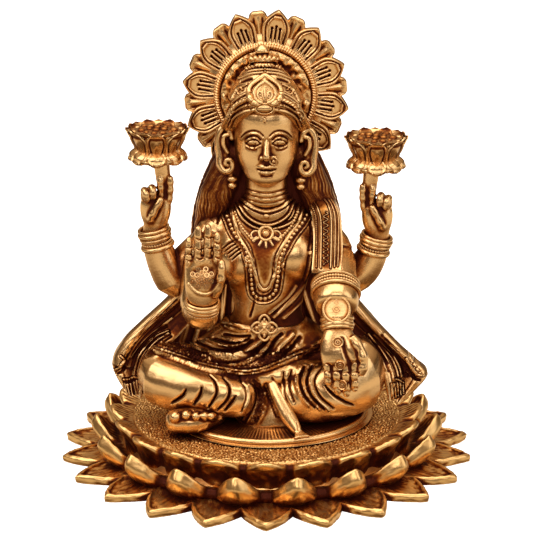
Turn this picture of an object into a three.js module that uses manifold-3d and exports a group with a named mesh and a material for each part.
// Seated four-armed goddess of fortune in cast brass, on an open lotus base.
// Millimetres, +Z up. The figure faces -Y. The origin is the middle of the base's underside.
import * as THREE from 'three';
import { mergeVertices } from 'three/addons/utils/BufferGeometryUtils.js';
import Module from 'manifold-3d';

const wasm = await Module();
wasm.setup();

// Free-form surfaces keep to their drawn form within this distance
const finest = 0.2;

// Lotus base
const outerPetalCount = 22;
const outerTipRadius = 115;
const outerNotchRadius = 97;
const outerPetalThickness = 4.6;
const middlePetalCount = 18;
const middleTipRadius = 98;
const middleTipHeight = 21.5;
const rimPetalCount = 20;
const rimTipRadius = 88;
const rimTipHeight = 27;
const petalThickness = 3;
const dishFloorRadius = 69;
const dishFloorHeight = 23;

// Oval mat under the figure, cast with it
const seatClearance = 0.3;
const matWidth = 116;
const matDepth = 106;
const matThickness = 3.6;

// Figure: the free forms are drawn at this height and follow it in proportion
const figureHeight = 226.7;
const drawnHeight = 226.7;
const drawnSeat = 23.3;
const share = figureHeight / drawnHeight;
const haloPetalCount = 12;

const brassColour = 0xc08a3e;
const baseColour = 0xb8823a;

// Points of the figure: x to the viewer's right, y away from the viewer, z up from the base's
// underside as drawn; the result is measured from the underside of the mat.
function at(x, y, z) {
  return new THREE.Vector3(x, y, z - drawnSeat).multiplyScalar(share);
}

function signedVolume(position, index) {
  const a = new THREE.Vector3();
  const b = new THREE.Vector3();
  const c = new THREE.Vector3();
  let sum = 0;
  for (let i = 0; i < index.length; i += 3) {
    a.fromBufferAttribute(position, index[i]);
    b.fromBufferAttribute(position, index[i + 1]);
    c.fromBufferAttribute(position, index[i + 2]);
    sum += a.dot(b.cross(c));
  }
  return sum / 6;
}

// Closed geometry to a solid, turned so that its faces point out
function solid(geometry) {
  const plain = geometry.clone();
  for (const name of Object.keys(plain.attributes)) {
    if (name !== 'position') plain.deleteAttribute(name);
  }
  const merged = mergeVertices(plain, 1e-4);
  const index = Array.from(merged.index.array);
  if (signedVolume(merged.attributes.position, index) < 0) index.reverse();
  return new wasm.Manifold(new wasm.Mesh({
    numProp: 3,
    vertProperties: Float32Array.from(merged.attributes.position.array),
    triVerts: Uint32Array.from(index),
  }));
}

function joined(solids) {
  return solids.reduce((sum, next) => sum.add(next));
}

// Surface of a solid with its needless points taken out: a point slides along an edge into its
// neighbour where no facet turns over and the surface moves by less than `finest`.
function facets(body) {
  const mesh = body.getMesh();
  const points = [];
  for (let i = 0; i < mesh.vertProperties.length; i += 3) {
    points.push(new THREE.Vector3().fromArray(mesh.vertProperties, i));
  }
  const triangles = [];
  const around = points.map(() => new Set());
  for (let i = 0; i < mesh.triVerts.length; i += 3) {
    const corners = Array.from(mesh.triVerts.slice(i, i + 3));
    corners.forEach((corner) => around[corner].add(triangles.length));
    triangles.push(corners);
  }
  const normal = new THREE.Vector3();
  const turnedNormal = new THREE.Vector3();
  const side = new THREE.Vector3();
  const crossOf = (target, a, b, c) => target.subVectors(b, a).cross(side.subVectors(c, a));
  const neighbours = (point) => {
    const found = new Set();
    for (const t of around[point]) triangles[t].forEach((corner) => found.add(corner));
    found.delete(point);
    return found;
  };
  const canSlide = (from, to) => {
    const length = points[from].distanceTo(points[to]);
    const reach = neighbours(to);
    let shared = 0;
    for (const corner of neighbours(from)) shared += reach.has(corner) ? 1 : 0;
    if (shared !== 2) return false;
    for (const t of around[from]) {
      if (triangles[t].includes(to)) continue;
      const before = triangles[t].map((corner) => points[corner]);
      const after = triangles[t].map((corner) => points[corner === from ? to : corner]);
      crossOf(normal, ...before);
      crossOf(turnedNormal, ...after);
      const area = turnedNormal.length();
      const oldArea = normal.length();
      if (area < 1e-3) return false;
      const off = Math.abs(turnedNormal.dot(side.subVectors(points[from], after[0]))) / area;
      if (off > finest) return false;
      const turn = normal.dot(turnedNormal) / Math.max(area * oldArea, 1e-12);
      const sliver = oldArea < finest * length;
      if (turn < (sliver ? 0.2 : 0.8)) return false;
    }
    return true;
  };
  let changed = true;
  while (changed) {
    changed = false;
    for (let from = 0; from < points.length; from += 1) {
      if (around[from].size === 0) continue;
      const choices = [...neighbours(from)]
        .sort((a, b) => points[from].distanceTo(points[a]) - points[from].distanceTo(points[b]));
      const to = choices.find((point) => canSlide(from, point));
      if (to === undefined) continue;
      for (const t of [...around[from]]) {
        if (triangles[t].includes(to)) {
          triangles[t].forEach((corner) => around[corner].delete(t));
          triangles[t] = null;
        } else {
          triangles[t] = triangles[t].map((corner) => (corner === from ? to : corner));
          around[to].add(t);
        }
      }
      around[from].clear();
      changed = true;
    }
  }
  return [points, triangles.filter((corners) => corners)];
}

function geometryOf(body) {
  const [points, triangles] = facets(body);
  const geometry = new THREE.BufferGeometry().setFromPoints(points);
  geometry.setIndex(triangles.flat());
  geometry.deleteAttribute('normal');
  return mergeVertices(geometry, 1e-4);
}

// Skin over a row of rings with the same number of points, closed by a fan at both ends
function loft(rings) {
  const count = rings[0].length;
  const points = rings.flat();
  const index = [];
  for (let i = 0; i + 1 < rings.length; i += 1) {
    for (let j = 0; j < count; j += 1) {
      const a = i * count + j;
      const b = i * count + (j + 1) % count;
      index.push(a, b, b + count, a, b + count, a + count);
    }
  }
  for (const [start, turn] of [[0, 1], [(rings.length - 1) * count, 0]]) {
    const middle = new THREE.Vector3();
    for (let j = 0; j < count; j += 1) middle.addScaledVector(points[start + j], 1 / count);
    const centre = points.push(middle) - 1;
    for (let j = 0; j < count; j += 1) {
      const a = start + j;
      const b = start + (j + 1) % count;
      index.push(...(turn ? [b, a, centre] : [a, b, centre]));
    }
  }
  const geometry = new THREE.BufferGeometry().setFromPoints(points);
  geometry.setIndex(index);
  return solid(geometry);
}

// Level oval sections from the bottom up: [z, half width, half depth, centre y, centre x]
function stack(sections, sides, power = 1) {
  const rings = sections.map(([z, halfWidth, halfDepth, y = 0, x = 0]) => {
    const ring = [];
    for (let j = 0; j < sides; j += 1) {
      const angle = (j / sides) * 2 * Math.PI;
      const c = Math.sign(Math.cos(angle)) * Math.abs(Math.cos(angle)) ** power;
      const s = Math.sign(Math.sin(angle)) * Math.abs(Math.sin(angle)) ** power;
      ring.push(at(x + halfWidth * c, y + halfDepth * s, z));
    }
    return ring;
  });
  return loft(rings);
}

// Limb along given stations [x, y, z, half width, half thickness], with rounded ends.
// The width lies across `facing`, the direction in which the thickness is measured.
function limb(stations, sides, facing = new THREE.Vector3(0, 1, 0), roundness = 0.6,
  rootRoundness = roundness) {
  const centres = stations.map(([x, y, z]) => at(x, y, z));
  const widths = stations.map((s) => s[3] * share);
  const depths = stations.map((s) => (s[4] ?? s[3]) * share);
  const last = stations.length - 1;
  const rings = [];
  const ring = (centre, tangent, width, depth) => {
    const across = new THREE.Vector3().crossVectors(tangent, facing).normalize();
    const front = new THREE.Vector3().crossVectors(across, tangent).normalize();
    const points = [];
    for (let j = 0; j < sides; j += 1) {
      const angle = ((j + 0.5) / sides) * 2 * Math.PI;
      points.push(centre.clone()
        .addScaledVector(across, width * Math.cos(angle))
        .addScaledVector(front, depth * Math.sin(angle)));
    }
    return points;
  };
  for (let i = 0; i <= last; i += 1) {
    const before = centres[Math.max(i - 1, 0)];
    const after = centres[Math.min(i + 1, last)];
    const tangent = after.clone().sub(before).normalize();
    const size = Math.min(widths[i], depths[i]);
    if (i === 0 && rootRoundness > 0) {
      const end = centres[0].clone().addScaledVector(tangent, -size * rootRoundness);
      rings.push(ring(end, tangent, widths[0] * 0.55, depths[0] * 0.55));
    }
    rings.push(ring(centres[i], tangent, widths[i], depths[i]));
    if (i === last && roundness > 0) {
      const end = centres[last].clone().addScaledVector(tangent, size * roundness);
      rings.push(ring(end, tangent, widths[last] * 0.55, depths[last] * 0.55));
    }
  }
  return loft(rings);
}

function egg(x, y, z, rx, ry, rz, sides = 10, rows = 7) {
  const geometry = new THREE.SphereGeometry(1, sides, rows);
  geometry.rotateX(Math.PI / 2);
  geometry.scale(rx * share, ry * share, rz * share);
  const centre = at(x, y, z);
  geometry.translate(centre.x, centre.y, centre.z);
  return solid(geometry);
}

// Turned shape about a vertical axis; the profile [radius, height] starts and ends on the axis
function turned(profile, sides) {
  const points = profile.map(([radius, height]) => new THREE.Vector2(radius, height));
  const geometry = new THREE.LatheGeometry(points, sides);
  geometry.rotateX(Math.PI / 2);
  return geometry;
}

// Level ring of petals round the base's axis. Each petal has four points: its tip, two shoulders
// and the notch beside it. `tip` and `notch` are [radius, height] in the plane of the tip.
function petalRing(count, turn, tip, shoulder, notch) {
  const ring = [];
  const parts = [tip, shoulder, notch, shoulder];
  for (let i = 0; i < count * 4; i += 1) {
    const angle = ((i / 4 + turn) / count) * 2 * Math.PI;
    const [radius, height] = parts[i % 4];
    ring.push(new THREE.Vector3(radius * Math.sin(angle), -radius * Math.cos(angle), height));
  }
  return ring;
}

// Outer petals lie flat on the surface that the base stands on
function outerPetals() {
  const t = outerPetalThickness;
  const shoulder = outerNotchRadius + 0.62 * (outerTipRadius - outerNotchRadius);
  const rows = [
    [0, 1, 0], [0.9 * t, 1, 0], [0.75 * t, 0.94, 2],
  ].map(([height, size, drop]) => petalRing(outerPetalCount, 0,
    [outerTipRadius * size, height - 0.3 * drop], [shoulder * size, height],
    [outerNotchRadius * size, height]));
  rows.push(petalRing(outerPetalCount, 0, [80, t + 1], [80, t + 1], [80, t + 1]));
  return loft(rows);
}

// Middle petals curl up from the outer ones to thick rounded tips
function middlePetals() {
  const tip = middleTipRadius;
  const top = middleTipHeight;
  const rows = [
    [[tip - 14, 3], [tip - 16, 3], [tip - 18, 3]],
    [[tip - 4, 0.36 * top], [tip - 6, 0.36 * top], [tip - 14, 0.3 * top]],
    [[tip + 0.5, 0.7 * top], [tip - 2.5, 0.6 * top], [tip - 11, 0.44 * top]],
    [[tip - 1, top], [tip - 5, 0.84 * top], [tip - 11.4, 0.52 * top]],
    [[tip - 1 - petalThickness, top - 0.6], [tip - 5 - petalThickness, 0.8 * top],
      [tip - 13.6, 0.5 * top]],
    [[tip - 20, 0.5 * top], [tip - 20, 0.46 * top], [tip - 20, 0.44 * top]],
  ];
  return loft(rows.map(([a, b, c]) => petalRing(middlePetalCount, 0.5, a, b, c)));
}

// Inner petals form the rim of the dish round the seeded floor
function rimPetals() {
  const tip = rimTipRadius;
  const top = rimTipHeight;
  const floor = dishFloorHeight;
  const rise = top - floor;
  const rows = [
    [[tip - 14, 0.2 * floor], [tip - 14, 0.2 * floor], [tip - 16, 0.2 * floor]],
    [[tip - 4.4, 0.7 * floor], [tip - 4.8, 0.7 * floor], [tip - 9, 0.62 * floor]],
    [[tip, top - 1.4], [tip - 1.4, floor + 0.2 * rise], [tip - 6, floor - 0.6 * rise]],
    [[tip - 0.6, top], [tip - 2.2, floor + 0.72 * rise], [tip - 6.4, floor + 0.1 * rise]],
    [[tip - petalThickness, top - 0.6], [tip - 2 - petalThickness, floor + 0.6 * rise],
      [tip - 6.4 - petalThickness, floor + 0.1 * rise]],
    [[dishFloorRadius, floor], [dishFloorRadius, floor], [dishFloorRadius, floor]],
  ];
  return loft(rows.map(([a, b, c]) => petalRing(rimPetalCount, 0, a, b, c)));
}

function lotusBase() {
  return joined([outerPetals(), middlePetals(), rimPetals()]);
}

function mat() {
  const half = matThickness / 2;
  const profile = [[0, 0], [0.985, 0], [1, half], [0.96, matThickness], [0, matThickness]];
  const geometry = turned(profile, 28);
  geometry.scale(matWidth / 2, matDepth / 2, 1);
  return solid(geometry);
}

function torso() {
  const trunk = stack([
    [22, 54, 30, 10], [38, 59, 33, 9], [52, 56, 30, 6], [64, 47, 26, 2], [72, 34, 22, 0],
    [79, 22, 18, -2.4], [86, 17.6, 16, -3, 0.6], [98, 20.4, 17, -3.5, 0.8],
    [118, 26.5, 16.5, -2.5, 0.4], [130, 30.5, 15, -1], [138, 27.6, 13, 0],
    [145, 17.6, 11.6, -1], [152, 12.6, 11, -4], [168, 12.4, 11.5, -4],
  ], 16);
  const bust = [[-13, 117], [15, 119]].map(([x, z]) => egg(x, -12, z, 12.2, 13, 12.6, 8, 6));
  return joined([trunk, ...bust]);
}

function legs() {
  const up = new THREE.Vector3(0, 0, 1);
  const right = limb([
    [-34, 4, 46, 15, 12], [-54, -5, 49, 15, 17.5], [-57, -13, 47, 13.5, 16],
    [-44, -21, 46, 12, 14.5], [-30, -27, 45, 11, 12.5], [-14, -32, 43, 9, 10.5],
  ], 10, up, 0.5);
  const left = limb([
    [28, 4, 50, 17, 16], [47, -5, 51, 16, 19.5], [50, -13, 50, 15, 19],
    [36, -24, 46, 13, 15.5], [22, -29, 43, 11, 12.5], [10, -31, 42, 9, 10.5],
  ], 10, up, 0.5);
  const pleats = limb([[1, -12, 54, 15, 12], [3, -16, 40, 18, 14], [4, -19, 22, 22, 16]], 8,
    undefined, 0);
  const foot = joined([
    limb([[-30, -30, 33, 7, 6.5], [-42, -35, 33, 8.6, 6.4], [-50, -35, 33, 6.4, 6]], 7, up),
    ...[0, 1, 2, 3, 4].map((i) => egg(-47 + i * 4.6, -43 + i * 1.1, 34 + i * 0.9,
      2.9 - i * 0.18, 3, 2.8 - i * 0.15, 5, 4)),
  ]);
  return joined([right, left, pleats, foot]);
}

function head() {
  const skull = stack([
    [161.6, 5, 4, -15.5], [164.4, 9.2, 8, -12.6], [170, 13.6, 13.6, -8.4], [178, 16.8, 17.6, -5],
    [188, 17.9, 19.4, -3.2], [200, 17.6, 19, -2],
  ], 12);
  const nose = limb([[-0.6, -21.8, 189, 1.5, 1], [-0.6, -24.4, 178.4, 3.2, 2]], 5);
  const lips = limb([[-5.2, -20.6, 172.6, 1, 1], [-0.6, -22, 172, 2, 1.4],
    [4, -20.6, 172.6, 1, 1]], 4, new THREE.Vector3(0, 1, 0), 0.5);
  const ears = [-1, 1].map((side) => joined([
    limb([[side * 19, -4, 191, 2.2, 3.4], [side * 22.6, -6, 185, 2.4, 3.6],
      [side * 20.6, -8, 171, 2, 3]], 6),
    egg(side * 23.4, -9, 167.5, 4.2, 3, 4.2, 7, 5),
    egg(side * 22.4, -7.4, 160.6, 2.6, 2.6, 4.4, 5, 4),
  ]));
  return joined([skull, nose, lips, ...ears]);
}

function crown() {
  const cap = stack([
    [192, 20.2, 20.4, -2.4], [198, 21.6, 22, -2.2], [205, 20.2, 20.6, -1.8, -0.6],
    [212, 17, 17, -1.6, -0.8], [219, 12.6, 12.6, -1.4, -1.2], [223.4, 7, 7, -1.4, -1.6],
    [226, 8, 8, -1.4, -1.8], [228.6, 6, 6, -1.4, -2], [229.4, 3.4, 3.4, -1.4, -2.2],
    [232, 3.8, 3.8, -1.4, -2.4], [234.4, 1.4, 1.4, -1.4, -2.6],
  ], 12);
  const bands = [204, 198.4].map((peak, row) => {
    const stations = [];
    for (let i = -4; i <= 4; i += 1) {
      const a = (i / 4) * 1.45;
      const reach = 22.3 - row * 0.4;
      const drop = Math.abs(i / 4) ** 1.6 * 8;
      stations.push([Math.sin(a) * reach - 0.8, -2.2 - Math.cos(a) * (reach - 0.4),
        peak - drop, 1.9, 1.5]);
    }
    return limb(stations, 4, new THREE.Vector3(0, 0, 1), 0.4);
  });
  const jewel = limb([[-0.8, -23.6, 197.6, 3, 2.4], [-1, -24.6, 203, 6.6, 2.6],
    [-1.2, -23.4, 208.5, 5.4, 2.6], [-1.6, -20.6, 213.5, 1.8, 2]], 6);
  return joined([cap, ...bands, jewel]);
}

// Halo behind the head: a star of petals, every other one standing forward, and a raised ring
function halo() {
  const centre = at(-0.4, 14, 202.8);
  const tipRadius = 45.8;
  const topAngle = THREE.MathUtils.degToRad(81);
  const half = Math.PI / haloPetalCount;
  const oval = 1.0434;
  const place = (radius, angle, y) => centre.clone().add(new THREE.Vector3(
    radius * Math.cos(angle), y, radius * Math.sin(angle) * oval).multiplyScalar(share));
  const star = (size, front, behind) => {
    const ring = [];
    for (let i = 0; i < haloPetalCount; i += 1) {
      const angle = topAngle + 2 * half * i;
      for (const [turn, radius, y] of [[0, tipRadius, front], [0.46, tipRadius - 6, front],
        [0.72, tipRadius - 6.6, behind], [1, tipRadius - 1, behind],
        [1.28, tipRadius - 6.6, behind], [1.54, tipRadius - 6, front]]) {
        ring.push(place(radius * size, angle + turn * half, y));
      }
    }
    return ring;
  };
  const ruff = loft([star(1, 1.8, 1.8), star(1, -2.4, 0), star(0.95, -1.4, 0.8),
    star(0.66, -1.4, -0.6)]);
  const ring = turned([[0, -0.6], [29, -0.6], [31, 2], [28, 3.6], [26, 1.4],
    [0, 1.4]].map(([r, h]) => [r * share, h * share]), 24);
  ring.rotateX(Math.PI / 2);
  ring.scale(1, 1, oval);
  ring.translate(centre.x, centre.y, centre.z);
  return joined([ruff, solid(ring)]);
}

// Loose hair behind the shoulders, its locks as ripples round the level sections
function hair() {
  const sides = 24;
  const rows = [
    [92, 36, 7, 10], [110, 42.6, 8.8, 9], [142, 40.4, 10.4, 8],
    [157, 36.6, 11.4, 8], [168, 31, 12, 8], [190, 19.6, 12.6, 5],
  ];
  return loft(rows.map(([z, halfWidth, halfDepth, y]) => {
    const ring = [];
    for (let j = 0; j < sides; j += 1) {
      const angle = ((j + 0.5) / sides) * 2 * Math.PI;
      const ripple = j % 2 ? 1.04 : 0.93;
      ring.push(at(halfWidth * ripple * Math.cos(angle),
        y + halfDepth * ripple * Math.sin(angle), z));
    }
    return ring;
  }));
}

// Cloth that hangs behind the waist and the bent arms
function backCloth() {
  return stack([[50, 56, 12, 12], [72, 47, 8, 11], [92, 40, 7, 10], [106, 32, 6, 10]], 12);
}

// One finger through its joints, slightly narrower towards the tip
function finger(points, radius) {
  const last = points.length - 1;
  return limb(points.map(([x, y, z], i) => [x, y, z, radius * (1 - 0.16 * (i / last))]), 5,
    new THREE.Vector3(0.02, 1, 0.03), 0.6, 0);
}

// Stations of a stack of bangles from one point of a limb to another
function bangles(from, to, radius, count) {
  const stations = [];
  for (let i = 0; i < count; i += 1) {
    for (const [step, size] of [[0, 0.88], [0.5, 1]]) {
      const t = (i + step) / (count - 0.5);
      stations.push([0, 1, 2].map((k) => from[k] + (to[k] - from[k]) * t).concat(radius * size));
    }
  }
  return stations;
}

// Lotus held in a raised hand: a cup of eight petals over a ring of drooping ones
function heldLotus(x, y, z) {
  const petals = 8;
  const rows = [
    [0, 0, 3.4, 3.4], [-3, -4.4, 14.8, 9.6], [-1.6, -2.8, 14.6, 9.4], [2.4, 2.4, 8.6, 8.6],
    [7.4, 7, 15, 12.4], [13.6, 11.6, 17.4, 14.6], [14.2, 12.8, 15, 13.4], [16, 16, 9, 9],
  ];
  return loft(rows.map(([tipHeight, notchHeight, tipRadius, notchRadius]) => {
    const ring = [];
    for (let j = 0; j < petals * 2; j += 1) {
      const angle = (j / petals) * Math.PI;
      const [radius, height] = j % 2 ? [notchRadius, notchHeight] : [tipRadius, tipHeight];
      ring.push(at(x + radius * Math.sin(angle), y - radius * Math.cos(angle), z + height));
    }
    return ring;
  }));
}

// Rear arm raised beside the head; side is -1 on the viewer's left
function rearArm(side, lift) {
  const px = (x) => side * x;
  const pz = (z) => z + lift;
  const arm = limb([
    [side * 26, 8, 124, 12, 9], [px(42), 6, pz(112), 12.5, 10], [px(53), 3, pz(106), 11, 10.5],
    [px(59.5), 1, pz(113), 9.6, 9],
    ...bangles([px(60.7), 0, pz(119.6)], [px(60.8), 0, pz(131)], 9, 3),
    [px(60.6), 0, pz(132.6), 6.6, 5.4], [px(60.8), -0.6, pz(138), 8.2, 5.4],
    [px(60.4), -0.8, pz(145), 8.6, 4.8], [px(59.4), -0.6, pz(149), 7.6, 4],
  ], 8);
  const fingers = [
    finger([[px(65.2), 0, pz(149)], [px(66.6), -3, pz(155)], [px(65), -5.8, pz(151)]], 2.2),
    finger([[px(68.6), 0.4, pz(146)], [px(70.4), -2, pz(152)], [px(69), -5, pz(148)]], 2.1),
    finger([[px(60.6), -1, pz(149)], [px(60.8), -3.2, pz(156)], [px(59.8), -3.4, pz(161)]], 2.2),
    finger([[px(55.6), -0.6, pz(147)], [px(54.6), -1.8, pz(155)], [px(56), -1.6, pz(163)]], 2.3),
    finger([[px(55.4), -3.6, pz(138)], [px(58.6), -6, pz(143.6)], [px(62), -7, pz(149.4)]], 2.3),
  ];
  const stem = limb([[px(57.4), 0, pz(150), 3], [px(58), 0, pz(172), 3.4]], 6);
  return joined([arm, ...fingers, stem, heldLotus(px(59.4), 0, pz(171.4))]);
}

// Front hand raised palm out, at the viewer's left
function blessingArm() {
  const arm = limb([
    [-30, -1, 130, 9, 9], [-36, -3, 116, 10, 10], [-37.5, -7, 98, 9.6, 10],
    [-36.5, -16, 88.5, 9.8, 9], [-35, -26, 90, 8.8, 7.4],
    ...bangles([-34.8, -30, 93.6], [-34.7, -32, 98.6], 8, 3),
    [-34.6, -32.6, 100, 7.4, 5.2], [-34.2, -34, 104, 9.2, 5], [-33.8, -34, 111, 10, 4.4],
    [-34.2, -32.6, 123, 9.3, 3.2],
  ], 8, new THREE.Vector3(0, 1, 0.3));
  const tips = [[-40.6, 137.6], [-35.6, 141], [-30.2, 141.8], [-25.6, 138]];
  const fingers = tips.map(([x, z], i) => {
    const root = -40.9 + i * 4.75;
    return finger([[root, -32.8, 122.5], [(root + x) / 2, -33.4, 131], [x, -32.2, z]], 2.35);
  });
  const thumb = finger([[-26.6, -35.4, 106], [-23.6, -37, 115], [-22.6, -38, 126]], 2.7);
  return joined([arm, ...fingers, thumb]);
}

// Front hand lowered palm out, giving coins, at the viewer's right
function givingArm() {
  const sleeve = limb([
    [30, -1, 130, 9.6, 9], [36.5, -3, 118, 11.4, 10.6], [37.5, -7, 108, 12.4, 12],
    [37.2, -12, 103.6, 13, 12.6], ...bangles([37.2, -13, 103.2], [37.4, -19, 101], 13.6, 3),
    [37.6, -19.6, 100.4, 11.4, 11.4], [37.8, -29, 97.6, 10.4, 10.4], [38, -37, 95, 8, 8],
  ], 8, new THREE.Vector3(0, 0.4, 1), 0);
  const disc = limb([[38.2, -37, 99.6, 8.4], [38.2, -40.6, 98.8, 8.4]], 12,
    new THREE.Vector3(0, 0, 1), 0);
  const hand = limb([
    ...bangles([38, -38.6, 91.6], [38.1, -41, 87], 7.6, 3), [38.2, -42.4, 86, 7.6, 5],
    [39, -46, 81, 9.4, 4.6], [39.6, -48.6, 74, 9.8, 4.2], [40, -50, 69, 8.8, 3.6],
  ], 8);
  const tips = [[35.4, 57.6], [39.6, 53.6], [43.4, 53.4], [46.4, 57]];
  const fingers = tips.map(([x, z], i) => {
    const root = 33.6 + i * 4.2;
    return finger([[root, -49, 70], [(root + x) / 2, -51.6, 62], [x, -51.6, z]], 2.2);
  });
  const thumb = finger([[45.6, -47.6, 80.6], [49.6, -50.4, 73.6], [50.6, -51.6, 66.8]], 2.5);
  const coins = [[37.4, -53.4, 78.4], [38.6, -54.4, 66.6], [39.6, -55, 56.4]].map(([x, y, z]) =>
    limb([[x, y, z, 2.7], [x, y + 3, z, 2.7]], 6, new THREE.Vector3(0, 0, 1), 0));
  return joined([sleeve, disc, hand, ...fingers, thumb, ...coins]);
}

// Shawl from behind the elbow down to the side: a sheet with a rolled edge and a squared end
function shawl(side, outer, inner) {
  const rings = outer.map(([ox, oy, oz], i) => {
    const [ix, iy, iz] = inner[i];
    const mix = (t, y) => at(side * (ox + (ix - ox) * t), oy + (iy - oy) * t + y,
      oz + (iz - oz) * t);
    return [mix(-0.06, -1.4), mix(0.04, -4.4), mix(0.16, -2.6), mix(0.2, -0.6), mix(0.7, -1),
      mix(0.85, -3.2), mix(1, -1.6), mix(1, 2.4), mix(0.5, 2.6), mix(0, 2.4)];
  });
  return loft(rings);
}

function shawls() {
  const left = shawl(-1,
    [[44, 2, 100], [56.3, 2, 88.4], [70.4, 2, 75.4], [80.6, 1, 64.4], [86.6, -1, 51],
      [77.4, -7, 33.8]],
    [[26, 4, 92], [38, 2, 80], [50, -2, 68], [60, -6, 58], [66, -9, 48],
      [69.6, -12, 37]]);
  const right = shawl(1,
    [[44, 3, 96], [60.9, 2, 76.6], [74.4, 1, 62.6], [83.8, 0, 53.4], [88.4, -2, 45.8],
      [74, -8, 31]],
    [[26, 4, 90], [42, 1, 72], [54, -3, 62], [62, -6, 54], [65, -9, 46],
      [68, -12, 35]]);
  return joined([left, right]);
}

// Line of sight from the front and 18 degrees above, which lays cords and folds on the body
const eye = at(0, -1400, 561.6);

function layer(body) {
  const surface = body.getMesh();
  const geometry = new THREE.BufferGeometry();
  geometry.setAttribute('position', new THREE.BufferAttribute(surface.vertProperties, 3));
  geometry.setIndex(new THREE.BufferAttribute(surface.triVerts, 1));
  const mesh = new THREE.Mesh(geometry, new THREE.MeshBasicMaterial());
  mesh.material.side = THREE.DoubleSide;
  const caster = new THREE.Raycaster();
  return (x, z) => {
    const aim = at(x, 0, z).sub(eye).normalize();
    caster.set(eye, aim);
    const hit = caster.intersectObject(mesh)[0];
    return hit ? hit.point : null;
  };
}

// Raised cord or fold laid on the body along a smooth curve through (x, z) points
function laid(touch, points, radius, steps, sides = 5) {
  const curve = new THREE.CatmullRomCurve3(points.map(([x, z]) => new THREE.Vector3(x, 0, z)));
  const stations = [];
  for (const point of curve.getPoints(steps)) {
    const spot = touch(point.x, point.z);
    if (spot) {
      stations.push([spot.x / share, spot.y / share, spot.z / share + drawnSeat, radius]);
    }
  }
  return limb(stations, sides, new THREE.Vector3(0.03, 1, 0.02), 0.4);
}

// Necklace, garland, waist flower, drapery folds and the sash between the legs
function trimmings(body) {
  const touch = layer(body);
  const sash = limb([[2.4, -27, 52, 2.6, 2.4], [9, -36, 41, 3.4, 2.8], [16.6, -42, 29.5, 3.4, 2.4],
    [18.6, -44, 27.4, 4.4, 1.6]], 5);
  const stud = (spot, radius) => {
    const piece = new THREE.SphereGeometry(radius * share, 6, 4);
    piece.scale(1, 0.6, 1);
    piece.translate(spot.x, spot.y, spot.z);
    return solid(piece);
  };
  const cords = [
    [10, 1.6, [[-25, 142], [-17, 126], [-11, 108], [-5, 96], [0, 92.6], [5, 96], [10, 108],
      [18, 126], [24, 142]]],
    [6, 1.4, [[-15, 144], [-11, 134], [-5, 129], [0, 127.6], [5, 129], [11, 134], [15, 144]]],
    [8, 1.4, [[-55, 71.5], [-42, 60], [-27, 52.4], [-8, 46.6], [8, 47.6], [20, 52.4],
      [29, 60.4]]],
    [6, 1.3, [[-53, 77], [-41, 66], [-26, 58.6], [-8, 53.4], [8, 54.6], [19, 59.4]]],
    [4, 1.3, [[-34, 73.6], [-22, 67], [-8, 62.6], [6, 65.4], [16, 72]]],
    [3, 1.3, [[27, 106], [22, 94], [12, 84.4], [2, 79.6]]],
    [2, 1.3, [[31, 136], [29.6, 124], [27.4, 111]]],
  ].map(([steps, radius, points]) => laid(touch, points, radius, steps, 3));
  const creases = [-38, -29, -21].map((x, i) =>
    laid(touch, [[x - 1, 53 - i * 1.6], [x + 2.6, 44 - i], [x - 1.6, 34.6 - i * 0.4]], 1, 2, 3));
  const borders = [-11, 12, 26].map((x, i) =>
    laid(touch, [[x, 45], [x + (i < 1 ? 1.6 : -2), 34], [x + (i < 1 ? -1.5 : 1), 22]], 1, 2, 3));
  return joined([sash, stud(touch(-0.1, 128), 4.6), stud(touch(-0.6, 75.4), 5.4), ...cords,
    ...creases, ...borders]);
}

function figure() {
  const body = joined([torso(), legs(), head(), crown(), halo(), hair(), backCloth(), shawls(),
    rearArm(-1, 0), rearArm(1, -4.4), blessingArm(), givingArm()]);
  const block = new THREE.BoxGeometry(matWidth * 2, matDepth * 2, figureHeight * 2);
  block.translate(0, 0, figureHeight);
  return joined([mat(), body, trimmings(body)]).intersect(solid(block));
}

function mesh(name, body, colour, roughness) {
  const material = new THREE.MeshStandardMaterial({ color: colour, roughness, metalness: 1 });
  const piece = new THREE.Mesh(geometryOf(body), material);
  piece.name = name;
  return piece;
}

const statue = new THREE.Group();
statue.add(mesh('lotus_plinth', lotusBase(), baseColour, 0.3));
const seated = mesh('figure', figure(), brassColour, 0.24);
seated.position.z = dishFloorHeight + seatClearance;
statue.add(seated);

export default statue;
